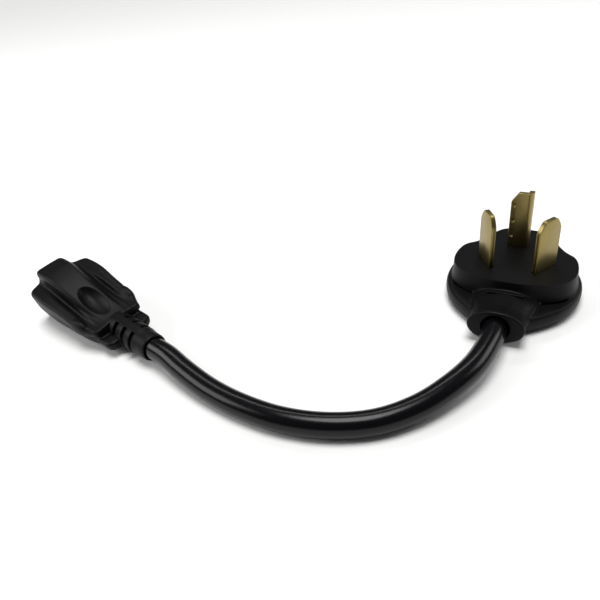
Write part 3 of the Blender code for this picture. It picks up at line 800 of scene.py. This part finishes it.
def blade_outline(half, foot, tip):
    """A blade's flat shape across its width, with both tip corners cut and a little rounded."""
    shoulder = Vector((half, tip - CORNER_DROP))
    top = Vector((half - CORNER_ACROSS, tip))
    after = Vector((half - CORNER_ACROSS - CORNER_ROUNDING, tip))
    right = [(half, foot), (half, tip - CORNER_DROP - CORNER_ROUNDING)]
    between = (shoulder + top) / 2
    for start, middle, end in ((right[-1], shoulder, between), (between, top, after)):
        for t in (0.2, 0.4, 0.6, 0.8, 1.0):
            curve = Vector(start) * (1 - t) ** 2 + middle * (2 * t * (1 - t)) + Vector(end) * t * t
            right.append(tuple(curve))
    return right + [(-u, z) for u, z in reversed(right)]


def flat_blade(name, side, grow=0.0, foot=BLADE_FOOT):
    """One flat blade of folded strip at its angle, or with grow its plain slot, that much larger."""
    settings = bpy.context.scene.adapter_plug
    thick, half = settings.blade_thickness / MM / 2, settings.blade_width / MM / 2
    tip = (settings.face_height + settings.blade_length) / MM
    if grow:
        layers = [(-thick - grow, -grow), (thick + grow, -grow)]
    else:
        layers = [(-thick + depth, inset) for depth, inset in BLADE_EDGE]
        layers += [(thick - depth, inset) for depth, inset in reversed(BLADE_EDGE)]
    rings = []
    for level, inset in layers:
        outline = blade_outline(half - inset, foot, tip - inset)
        rings.append([(level, u, z) for u, z in outline])
    blade = ring_solid(name, rings)
    if not grow:
        combine(blade, "DIFFERENCE", *fold_seams(half, foot, tip))
    middle = (side * settings.blade_spacing / MM / 2, 0, 0)
    blade.matrix_world = local_frame(middle, -side * math.degrees(settings.blade_angle))
    pick(blade)
    bpy.ops.object.transform_apply(location=True, rotation=True, scale=True)
    return blade


def fold_seams(half, foot, tip):
    """The open seam of the folded strip, along the near edge below the cut corner."""
    seams = []
    for depth, half_width in SEAM_STEPS:
        span = (-half - 1, -half + depth)
        seams.append(block("seam", ((-half_width, half_width), span, (foot - 1, tip - SEAM_END))))
    return seams


def l_blade(name, grow=0.0, foot=BLADE_FOOT):
    """The L-shaped blade's section with its rounded bend, drawn up to its tip."""
    settings = bpy.context.scene.adapter_plug
    tip = (settings.face_height + settings.neutral_length) / MM
    (x0, x1), (y0, y1), thick = L_BLADE_X, L_BLADE_Y, settings.blade_thickness / MM
    outer = [(x0 - grow, y0 - grow)]
    inner = [(x0 - grow, y0 + thick + grow)]
    for step in range(ARC_STEPS + 1):
        angle = math.radians(-90 + 90 * step / ARC_STEPS)
        for line, radius in ((outer, L_BEND + grow), (inner, L_BEND - thick - grow)):
            radius = max(radius, 0.05)
            line.append((
                x1 - L_BEND + radius * math.cos(angle), y0 + L_BEND + radius * math.sin(angle),
            ))
    outer.append((x1 + grow, y1 + grow))
    inner.append((x1 - thick - grow, y1 + grow))
    return ring_solid(name, [at_height(outer + inner[::-1], z) for z in (foot, tip)])


class ADAPTER_OT_blades(AdapterPiece, bpy.types.Operator):
    """Adds the two flat blades and the L-shaped blade"""

    bl_idname = "adapter.blades"
    bl_label = "Blades"

    def execute(self, context):
        for side, name in ((-1, "left"), (1, "right")):
            blade = flat_blade(f"flat_blade_{name}", side)
            settle(blade, PLUG_FRAME, 25)
            hand_over(blade, blade_brass(), "brass", f"line_blade_{name}")
        blade = l_blade("l_blade")
        combine(blade, "DIFFERENCE", *self.tip_cutters())
        sharp = math.radians(30)
        use_modifier(
            blade, "BEVEL", width=0.28 * MM, segments=3, limit_method="ANGLE", angle_limit=sharp,
        )
        combine(blade, "DIFFERENCE", *self.dimples())
        settle(blade, PLUG_FRAME, 25)
        hand_over(blade, blade_brass(), "brass", "neutral_blade")
        return {"FINISHED"}

    def tip_cutters(self):
        """Wedges that slope the free corner of each leg."""
        settings = bpy.context.scene.adapter_plug
        tip = (settings.face_height + settings.neutral_length) / MM
        (edge, drop), (end, _) = LONG_LEG_SLOPE
        outside = edge - 3
        side = (
            (edge, tip - drop), (end, tip), (end, tip + 2), (outside, tip + 2), (outside, tip - drop),
        )
        (start, _), (rim, fall) = SHORT_LEG_SLOPE
        back = ((start, tip), (rim, tip - fall), (24, tip - fall), (24, tip + 2), (start, tip + 2))
        return (
            ring_solid("wedge_side", [[(x, y, z) for x, z in side] for y in (13.0, 20.0)]),
            ring_solid("wedge_back", [[(x, y, z) for y, z in back] for x in (-2.0, 6.0)]),
        )

    def dimples(self):
        """Three shallow coined dimples near the free edge of the long leg."""
        return [
            egg("dimple", (*DIMPLE_PLACE, z), DIMPLE_SIZE, segments=20, rings=12)
            for z in DIMPLE_HEIGHTS
        ]


class ADAPTER_OT_connector_body(AdapterPiece, bpy.types.Operator):
    """Adds the connector's moulding: ridge, wings, thumb recess and tongue"""

    bl_idname = "adapter.connector_body"
    bl_label = "Connector Moulding"

    def execute(self, context):
        stations = smooth_line([Vector(s) for s in STATIONS[2:10]], False, 3)
        sections = list(STATIONS[:2]) + [tuple(s) for s in stations] + list(STATIONS[10:])
        body = ring_solid("connector_moulding", [self.section(s) for s in sections])
        (x, y, z), half_sizes, turn = LOBE
        lobes = [egg("lobe", (x, side * y, z), half_sizes, turn=side * turn) for side in (-1, 1)]
        combine(body, "UNION", self.tongue(), *lobes)
        combine(body, "DIFFERENCE", egg("thumb_recess", *THUMB_RECESS, segments=48, rings=32))
        soften(body, voxel=0.36, rounds=8)
        combine(body, "DIFFERENCE", t_block("insert_pocket", POCKET_ENDS, POCKET_GAP))
        settle(body, CONNECTOR_FRAME, 32)
        hand_over(body, connector_vinyl(), "moulded_black_vinyl", "connector_overmould")
        return {"FINISHED"}

    def section(self, station):
        """Foot, side, wing, flute and ridge, then the same mirrored."""
        x, half, wing, flute, ridge_half, ridge = station
        flute_half = min(FLUTE_HALF, half - 3.2)
        side = max(ridge_half, flute_half - 0.9)
        rise = ridge - flute
        right = [(half - inset, z) for inset, z in FOOT]
        right += [
            (half - 0.15, wing - 3.2), (half, wing - 1.8),
            (half - 0.35, wing - 0.6), (half - 1.5, wing),
            (flute_half + 2.4, 0.75 * wing + 0.25 * flute),
            (flute_half + 0.9, 0.2 * wing + 0.8 * flute),
            (flute_half, flute + 0.08 * rise), (side, flute + 0.38 * rise),
            (ridge_half, ridge - min(2.2, 0.5 * rise)),
            (ridge_half - 0.7, ridge - min(0.75, 0.2 * rise)), (ridge_half - 2.4, ridge),
        ]
        outline = [Vector(p) for p in right] + [Vector((-y, z)) for y, z in reversed(right)]
        outline = smooth_line(outline, True, 3)
        middle, sides, fade = FRONT_BOW
        share = max(0.0, 1 - x / fade)
        shift, extra, over = RIDGE_LEAN
        ring = []
        for y, z in outline:
            lean = min(max((z - flute) / over, 0), 1) * (shift + extra * y / ridge_half)
            bow = share * (middle + (sides - middle) * (y / half) ** 4)
            ring.append((x + bow, y + lean, z))
        return ring

    def tongue(self):
        """The low tongue behind the body, whose rounded corners flank the boot."""
        (start, end), half = TONGUE
        corner = TONGUE_CORNER
        plan = [(start, -half), (end - corner, -half)]
        for step in range(1, ARC_STEPS + 1):
            angle = math.radians(-90 + 90 * step / ARC_STEPS)
            plan.append((end + corner * (math.cos(angle) - 1), -half + corner * (1 + math.sin(angle))))
        plan += [(x, -y) for x, y in reversed(plan)]
        rings = []
        for inset, z in TONGUE_PROFILE:
            stretch = 1 + inset / (end - start)
            rings.append([
                (start + (x - start) * stretch, y * (half + inset) / half, z) for x, y in plan
            ])
        return ring_solid("tongue", rings)


def t_block(name, ends, grow=0.0):
    """The T-shaped block behind the connector's front."""
    half, (low, high) = INSERT_SLAB
    slab = block(name, (ends, (-half - grow, half + grow), (low - grow, high + grow)))
    half, (low, high) = INSERT_RIDGE
    ridge = block("ridge_part", (ends, (-half - grow, half + grow), (low, high + grow)))
    combine(slab, "UNION", ridge)
    return slab


class ADAPTER_OT_front_insert(AdapterPiece, bpy.types.Operator):
    """Adds the block in the connector's front, with its slots and ground hole"""

    bl_idname = "adapter.front_insert"
    bl_label = "Front Insert"

    def execute(self, context):
        settings = context.scene.adapter_connector
        insert = t_block("insert_block", INSERT_ENDS)
        sharp = math.radians(40)
        use_modifier(
            insert, "BEVEL", width=0.3 * MM, segments=2, limit_method="ANGLE", angle_limit=sharp,
        )
        half = settings.slot_width / MM / 2
        for side, span in SLOT_LENGTHS:
            y = side * settings.slot_spacing / MM / 2
            heights = (SLOT_HEIGHT - span / 2, SLOT_HEIGHT + span / 2)
            slot = block("slot", (SLOT_REACH, (y - half, y + half), heights), edge=0.3)
            lead_in = ring_solid("lead_in", [
                self.rectangle(x, y, half + grow, span / 2 + grow) for x, grow in LEAD_IN
            ])
            combine(insert, "DIFFERENCE", slot, lead_in)
        radius = settings.ground_radius / MM
        hole = [(x, radius + extra) for x, extra in GROUND_PROFILE]
        combine(insert, "DIFFERENCE", turned("ground_hole", hole, "X", (0, GROUND_HEIGHT), 40))
        settle(insert, CONNECTOR_FRAME, 30)
        colour = tuple(finish().insert)
        material = shared_material("moulded_nylon", moulded_vinyl, colour, CONNECTOR_FRAME)
        hand_over(insert, material, "black_nylon", "front_insert")
        return {"FINISHED"}

    def rectangle(self, x, y, half_width, half_height):
        """One ring of a slot's lead-in, at the slots' height."""
        corners = ((-1, -1), (1, -1), (1, 1), (-1, 1))
        return [(x, y + a * half_width, SLOT_HEIGHT + b * half_height) for a, b in corners]


class ADAPTER_OT_boot(AdapterPiece, bpy.types.Operator):
    """Adds the slotted strain relief boot"""

    bl_idname = "adapter.boot"
    bl_label = "Strain Relief Boot"

    def execute(self, context):
        width = context.scene.adapter_connector.relief_slot / MM
        boot = turned("relief_boot", BOOT_PROFILE, "X", (0, BOOT_HEIGHT), 96)
        for middle in BOOT_SLOTS:
            combine(boot, "DIFFERENCE", *self.slot_pair(middle, width))
        sharp = math.radians(50)
        use_modifier(
            boot, "BEVEL", width=0.3 * MM, segments=3, limit_method="ANGLE", angle_limit=sharp,
        )
        settle(boot, CONNECTOR_FRAME, 40)
        hand_over(boot, connector_vinyl(), "moulded_black_vinyl", "strain_relief_boot")
        return {"FINISHED"}

    def slot_pair(self, middle, width):
        """Two curved slots, one on each side of the solid spines above and below."""
        core, rim = BOOT_SLOT_RADII
        first, last = BOOT_SLOT_ARC
        cutters = []
        for side in (-1, 1):
            rings = []
            for step in range(BOOT_SLOT_STEPS + 1):
                angle = math.radians(first + (last - first) * step / BOOT_SLOT_STEPS)
                across, up = side * math.sin(angle), math.cos(angle)
                ring = []
                for x, radius in ((-1, core), (1, core), (1, rim), (-1, rim)):
                    ring.append((middle + x * width / 2, across * radius, BOOT_HEIGHT + up * radius))
                rings.append(ring)
            cutters.append(ring_solid("relief_slot", rings))
        return cutters


class ADAPTER_OT_inner_parts(AdapterPiece, bpy.types.Operator):
    """Gives the parts held inside their materials"""

    bl_idname = "adapter.inner_parts"
    bl_label = "Inner Parts"

    def execute(self, context):
        insulation = {"line": "1A1A1C", "neutral": "E2E0DA", "ground": "1F6B3A"}
        bright, dull = hex_colour("CDA85A"), hex_colour("A98443")
        nylon = tuple(finish().insert)
        materials = {
            "crimp": blade_brass(),
            "contact": shared_material("spring_brass", stamped_brass, bright, dull),
            "strand": shared_material("drawn_copper", drawn_copper),
            "carrier": shared_material("moulded_nylon_carrier", moulded_vinyl, nylon, PLUG_FRAME),
        }
        for kind, code in insulation.items():
            colour, gloss = hex_colour(code), (0.35, 0.5)
            made = shared_material(f"wire_pvc_{kind}", extruded_vinyl, colour, gloss)
            materials[f"wire_{kind}"] = made
        for name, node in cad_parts.items():
            if node.hide_render:
                continue
            found = [material for key, material in materials.items() if key in name]
            if len(found) != 1:
                raise RuntimeError(f"{name} has {len(found)} materials")
            node.data.materials.clear()
            node.data.materials.append(found[0])
        return {"FINISHED"}


class ADAPTER_PT_panel(bpy.types.Panel):
    """Lists the pieces and their settings"""

    bl_idname = "ADAPTER_PT_panel"
    bl_label = "Adapter Cord"
    bl_space_type = "VIEW_3D"
    bl_region_type = "UI"
    bl_category = "Adapter Cord"

    def draw(self, context):
        for operator in OPERATORS:
            self.layout.operator(operator.bl_idname)
        for name, group in SETTINGS.items():
            box = self.layout.box()
            for item in group.__annotations__:
                box.prop(getattr(context.scene, name), item)


# The camera and the cord come first
OPERATORS = (
    ADAPTER_OT_stage, ADAPTER_OT_cord, ADAPTER_OT_plug_body, ADAPTER_OT_blades,
    ADAPTER_OT_connector_body, ADAPTER_OT_front_insert, ADAPTER_OT_boot, ADAPTER_OT_inner_parts,
)
SETTINGS = {
    "adapter_plug": AdapterPlugSettings,
    "adapter_connector": AdapterConnectorSettings,
    "adapter_cord": AdapterCordSettings,
    "adapter_finish": AdapterFinishSettings,
    "adapter_stage": AdapterStageSettings,
}


def register():
    for group in SETTINGS.values():
        bpy.utils.register_class(group)
    for name, group in SETTINGS.items():
        setattr(bpy.types.Scene, name, bpy.props.PointerProperty(type=group))
    for operator in OPERATORS:
        bpy.utils.register_class(operator)
    bpy.utils.register_class(ADAPTER_PT_panel)


def unregister():
    bpy.utils.unregister_class(ADAPTER_PT_panel)
    for operator in reversed(OPERATORS):
        bpy.utils.unregister_class(operator)
    for name, group in SETTINGS.items():
        delattr(bpy.types.Scene, name)
        bpy.utils.unregister_class(group)


def main():
    register()
    for operator in OPERATORS:
        group, name = operator.bl_idname.split(".")
        getattr(getattr(bpy.ops, group), name)()


if __name__ == "__main__":
    main()
